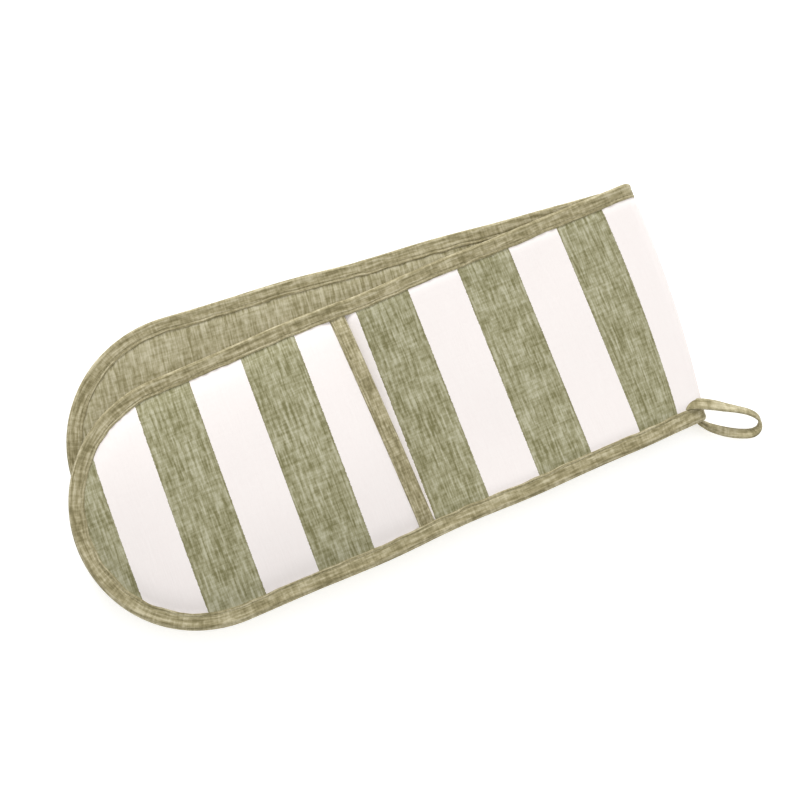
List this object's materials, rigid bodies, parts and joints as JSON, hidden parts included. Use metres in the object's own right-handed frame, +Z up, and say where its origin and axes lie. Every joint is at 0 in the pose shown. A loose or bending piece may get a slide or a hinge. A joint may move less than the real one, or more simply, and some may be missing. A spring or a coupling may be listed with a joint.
{
  "type": "double oven glove",
  "caption": "Long padded striped strip with a hand pocket at each rounded end, bound in tape, folded in half, with a hanging loop at the fold.",
  "frame": {"origin": "under the middle of the folded glove's box, on the surface it lies on", "axes": "+X along the leaves towards the fold, +Y along the crease away from the hanging loop, +Z up"},
  "size_m": [0.4798, 0.2214, 0.0312],
  "materials": {
    "striped_cotton": "woven, wide sage and off-white stripes, matt",
    "sage_lining": "woven slub, plain sage, matt",
    "olive_binding": "woven slub tape, olive, matt",
    "white_wadding": "needled cotton wadding, matt"
  },
  "bodies": {
    "lower_leaf": {"lower_outer_panel": "striped_cotton", "lower_wadding": "white_wadding", "lower_lining": "sage_lining", "lower_pocket_lining": "sage_lining", "lower_pocket_wadding": "white_wadding", "lower_pocket_outer": "striped_cotton", "lower_edge_binding": "olive_binding", "lower_mouth_binding": "olive_binding"},
    "fold": {"fold_outer_panel": "striped_cotton", "fold_wadding": "white_wadding", "fold_lining": "sage_lining", "fold_binding_loop_side": "olive_binding", "fold_binding_far_side": "olive_binding"},
    "upper_leaf": {"upper_outer_panel": "striped_cotton", "upper_wadding": "white_wadding", "upper_lining": "sage_lining", "upper_pocket_lining": "sage_lining", "upper_pocket_wadding": "white_wadding", "upper_pocket_outer": "striped_cotton", "upper_edge_binding": "olive_binding", "upper_mouth_binding": "olive_binding"},
    "hanging_loop": {"hanging_loop": "olive_binding"}
  },
  "joints": [
    {"name": "fold_lower", "type": "hinge", "parent": "lower_leaf", "child": "fold", "pos_m": [0.20998, 0.00029, 0.00262], "axis": [0, 1, 0], "range_deg": [0, 88]},
    {"name": "fold_upper", "type": "hinge", "parent": "fold", "child": "upper_leaf", "pos_m": [0.20998, 0.00029, 0.01518], "axis": [0, 1, 0], "range_deg": [0, 88]},
    {"name": "loop_swing", "type": "hinge", "parent": "fold", "child": "hanging_loop", "pos_m": [0.21419, -0.08921, 0.0089], "axis": [0, 0, 1], "range_deg": [-25, 45]}
  ],
  "couplings": [
    {"joint": "fold_upper", "follows": "fold_lower", "ratio": 1}
  ]
}
